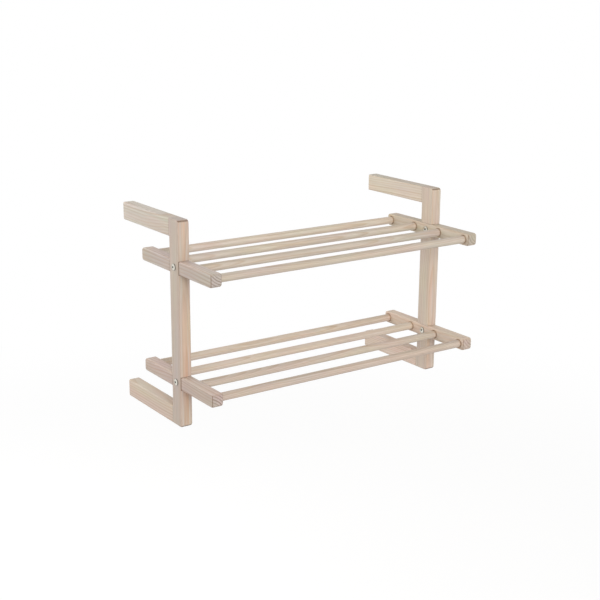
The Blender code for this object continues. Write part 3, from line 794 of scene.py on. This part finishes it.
# %% The zinc material
DULL_EDGE = (0.35, 0.7)             # noise from bright to dull patches
DULL_TINT = (0.86, 0.87, 0.87)
DULL_ROUGHNESS = 0.12               # what a dull patch adds
# darkness of oil and painted shade where hollow is 1
OIL_AND_SHADE_TINT = (0.06, 0.055, 0.05)
BUMPS_TO_PATCH = 5                  # bumps across one patch
ZINC_BUMP = 0.2
ZINC_RELIEF = 0.0001


def zinc_plate(name, tone, roughness, patch_rate):
    """Zinc plate with a number of patches to the metre."""
    material, wire, output = new_material(name)
    place = wire.node("ShaderNodeTexCoord", output="Object")
    patch = wire.node("ShaderNodeTexNoise", inputs={"Vector": place, "Scale": patch_rate, "Detail": 3.0})
    grain = wire.node("ShaderNodeTexNoise",
                      inputs={"Vector": place, "Scale": patch_rate * BUMPS_TO_PATCH, "Detail": 2.0})
    dull = patch.step(*DULL_EDGE)
    colour = dull.mix(tone, tinted(tone, DULL_TINT))
    hollow = wire.node("ShaderNodeAttribute", {"attribute_name": "hollow"}, output="Fac")
    colour = hollow.mix(colour, tinted(tone, OIL_AND_SHADE_TINT))
    bump = wire.node("ShaderNodeBump",
                     inputs={"Strength": ZINC_BUMP, "Distance": ZINC_RELIEF, "Height": grain})
    shader = wire.node("ShaderNodeBsdfPrincipled",
                       inputs={"Base Color": colour, "Metallic": 1.0, "Normal": bump,
                               "Roughness": roughness + dull * DULL_ROUGHNESS})
    wire.tree.links.new(shader.socket, output.inputs["Surface"])
    return material


bolt_zinc = zinc_plate("bright_zinc", paint(224, 221, 210), roughness=0.22, patch_rate=900)
plate_zinc = zinc_plate("plate_zinc", paint(196, 198, 200), roughness=0.34, patch_rate=350)
screw_zinc = zinc_plate("screw_zinc", paint(200, 201, 200), roughness=0.28, patch_rate=900)
print("made", bolt_zinc.name, plate_zinc.name, screw_zinc.name)

# %% [markdown]
# ## Connector bolts and sleeve nuts
# A bolt goes in from outside each upright and a sleeve nut meets it from inside the rail. Both have
# a low dome with a hexagon socket. The head is a stack of rings joined by faces, which gives the
# socket crisp flats and a small lip that a Screw modifier could not. One fastener is made for each
# kind.

# %% A fastener as a stack of rings
HEAD_HEIGHT = 0.0028
HEAD_RIM = 0.0014                   # height of the upright rim below the dome
RIM_EASE = 0.0002
DOME_STEPS = 7
DOME_STOP = 1.16                    # times the lip, just outside the corners of its hexagon
SOCKET_FLATS = 0.004
SOCKET_DEPTH = 0.0019
SOCKET_LIP = 0.00018
DRILL_POINT = 0.0004                # depth of the drill's mark in the socket's floor
TIP_EASE = 0.0006
HEAD_SIDES = 48


def stem_rings(radius, length):
    """Rings (radius, height, hexagonal or not, hollow: how much oil and painted shade darken them) from the
    tip of the stem up to the head.
    """
    return [(radius - TIP_EASE, -length, False, 0.0), (radius, TIP_EASE - length, False, 0.0),
            (radius, 0.0, False, 1.0)]


def head_rings(radius):
    """Rings from the foot of the head's rim to the socket's floor."""
    # hollow paints shade under the rim and down in the socket
    rings = [(radius - RIM_EASE, 0.0, False, 1.0), (radius, RIM_EASE, False, 1.0),
             (radius, HEAD_RIM, False, 0.5)]
    rise = HEAD_HEIGHT - HEAD_RIM
    sphere = (radius ** 2 + rise ** 2) / (2 * rise)
    lip = SOCKET_FLATS / 2 + SOCKET_LIP
    for step in range(1, DOME_STEPS + 1):
        across = radius + (lip * DOME_STOP - radius) * step / DOME_STEPS
        rings.append((across, HEAD_HEIGHT - sphere + math.sqrt(sphere ** 2 - across ** 2), False, 0.0))
    top = rings[-1][1]
    floor = top - SOCKET_DEPTH
    return rings + [(lip, top, True, 0.4), (SOCKET_FLATS / 2, top - SOCKET_LIP, True, 1.0),
                    (SOCKET_FLATS / 2, floor, True, 1.0), (SOCKET_FLATS / 4, floor - DRILL_POINT, True, 1.0)]


def ring_point(radius, height, hexagonal, corner):
    angle = math.tau * corner / HEAD_SIDES
    if hexagonal:
        radius /= math.cos((angle + math.pi / 6) % (math.pi / 3) - math.pi / 6)
    return (radius * math.cos(angle), radius * math.sin(angle), height)


def fastener(name, rings):
    """A solid that joins the rings by faces; its head stands on Z = 0 and its stem hangs below."""
    mesh = bpy.data.meshes.new(name)
    solid = bmesh.new()
    hollow = solid.verts.layers.float.new("hollow")
    loops = []
    for *ring, depth in rings:
        loops.append([solid.verts.new(ring_point(*ring, corner)) for corner in range(HEAD_SIDES)])
        for vert in loops[-1]:
            vert[hollow] = depth
    for low, high in zip(loops, loops[1:]):
        for corner in range(HEAD_SIDES):
            after = (corner + 1) % HEAD_SIDES
            solid.faces.new((low[corner], low[after], high[after], high[corner]))
    solid.faces.new(loops[0][::-1])
    solid.faces.new(loops[-1])
    solid.to_mesh(mesh)
    solid.free()
    return bpy.data.objects.new(name, mesh)


print("a head stands", HEAD_HEIGHT, "m high with", HEAD_SIDES, "sides")

# %% [markdown]
# ## Heads on their seats
# The four fasteners of a kind differ only in the way they face and in how far a hand turned them.
# They could be copied and turned one by one. A tree does it from points: it sets a head on each,
# faces it along the vector stored there, and turns it by a seeded random angle.


# %% A tree that sets the heads
def build_head_tree():
    tree, wire, given = new_tree("set_heads", {"Seats": "Geometry", "Head": "Object", "Seed": "Int",
                                               "Material": "Material"})
    head = wire.node("GeometryNodeObjectInfo", inputs={"Object": given("Head")}, output="Geometry")
    outward = wire.node("GeometryNodeInputNamedAttribute", {"data_type": "FLOAT_VECTOR"},
                        {"Name": "outward"}, "Attribute")
    facing_out = wire.node("FunctionNodeAlignRotationToVector", {"axis": "Z"}, {"Vector": outward})
    turn = wire.node("FunctionNodeRandomValue", {"data_type": "FLOAT"},
                     {"Max_001": math.tau / 6, "Seed": given("Seed")}, "Value_001")
    turn = wire.node("FunctionNodeAxisAngleToRotation", inputs={"Axis": (0, 0, 1), "Angle": turn})
    turned = wire.node("FunctionNodeRotateRotation", {"rotation_space": "LOCAL"},
                       {"Rotation": facing_out, "Rotate By": turn})
    heads = wire.node("GeometryNodeInstanceOnPoints",
                      inputs={"Points": given("Seats"), "Instance": head, "Rotation": turned})
    finish_tree(wire, heads)
    return tree


head_tree = build_head_tree()
print("the head tree has", len(head_tree.nodes), "nodes")

# %% [markdown]
# ## All bolts and nuts
# The bolts' heads lie on the uprights and face outwards, and the nuts' heads lie on the rails and
# face inwards. The boxes of the CAD fasteners say where each head ends and how long its stem is, so
# nothing is placed by eye.

# %% Set the bolts and nuts in their seats
BOLT_SHANK = 0.003                  # radius
NUT_SHANK = 0.0043
HEAD_SEED = 11


def seats_mesh(name, names, head_side):
    """A point under each head, with the way that the head faces."""
    seats, ways = [], []
    for node in names:
        low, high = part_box(node)
        way = head_side if "_right_" in node else -head_side
        face = high.x if way > 0 else low.x
        seats.append((face - way * HEAD_HEIGHT, (low.y + high.y) / 2, (low.z + high.z) / 2))
        ways.append((way, 0, 0))
    mesh = bpy.data.meshes.new(name)
    mesh.from_pydata(seats, [], [])
    mesh.attributes.new("outward", "FLOAT_VECTOR", "POINT")
    for item, way in zip(mesh.attributes["outward"].data, ways):
        item.vector = way
    return mesh


def set_fasteners(kind, head_side, shank):
    """All fasteners of a kind; head_side is 1 if their heads face outwards and -1 if inwards."""
    names = [f"{shelf}_{side}_{kind}" for shelf in SHELVES for side in ("left", "right")]
    low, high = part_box(names[0])
    rings = stem_rings(shank, high.x - low.x - HEAD_HEIGHT) + head_rings((high.z - low.z) / 2)
    template = fastener(kind + "_template", rings)
    heads = grow(kind + "s", head_tree, {"Head": template, "Seed": HEAD_SEED, "Material": bolt_zinc},
                 seats_mesh(kind + "_seats", names, head_side))
    bpy.data.objects.remove(template)
    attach(heads, "root")
    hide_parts(*names)


set_fasteners("connector_bolt", 1, BOLT_SHANK)
set_fasteners("sleeve_nut", -1, NUT_SHANK)

# %% [markdown]
# ## Hidden hardware
# The keyhole plates face the wall, and the beech pins lie inside the joints. They could be made
# again as the bolts were, but so little of them shows that they and the plates' screws keep their
# CAD shapes and only get finishes. Beech has no bold rings: it is an even tan with short dark
# flecks along the grain.

# %% Finish the plates, screws and pins
FLECK_RATE = (2400, 160, 2400)      # flecks in a metre; they are long along Y, as the pins are
FLECK_EDGE = (0.55, 0.72)
FLECK_TINT = (0.78, 0.70, 0.62)
FLECK_ROUGHNESS = 0.1
CLOUD_RATE = 180.0
CLOUD_SHADE = 0.16
BEECH_ROUGHNESS = 0.6
BEECH_BUMP = 0.2
BEECH_RELIEF = 0.0002


def beech(name, tone):
    material, wire, output = new_material(name)
    place = wire.node("ShaderNodeTexCoord", output="Object")
    stretched = place.vector("MULTIPLY", FLECK_RATE)
    fleck = wire.node("ShaderNodeTexNoise", inputs={"Vector": stretched, "Scale": 1.0, "Detail": 1.0})
    cloud = wire.node("ShaderNodeTexNoise", inputs={"Vector": place, "Scale": CLOUD_RATE, "Detail": 2.0})
    wood = fleck.step(*FLECK_EDGE).mix(tone, tinted(tone, FLECK_TINT))
    wood = wood.vector("MULTIPLY", 1 - CLOUD_SHADE / 2 + CLOUD_SHADE * cloud)
    bump = wire.node("ShaderNodeBump",
                     inputs={"Strength": BEECH_BUMP, "Distance": BEECH_RELIEF, "Height": fleck})
    shader = wire.node("ShaderNodeBsdfPrincipled",
                       inputs={"Base Color": wood, "Normal": bump,
                               "Roughness": BEECH_ROUGHNESS + FLECK_ROUGHNESS * fleck})
    wire.tree.links.new(shader.socket, output.inputs["Surface"])
    return material


def dress(word, material):
    """Give a finish to every CAD node whose name holds the word."""
    found = [node for name, node in nodes.items() if word in name]
    for node in found:
        for slot in node.material_slots:
            slot.material = material
    print("finished", len(found), "pieces in", material.name)


dress("keyhole_plate", plate_zinc)
dress("plate_screw", screw_zinc)
dress("_pin_", beech("plain_beech", paint(196, 160, 122)))
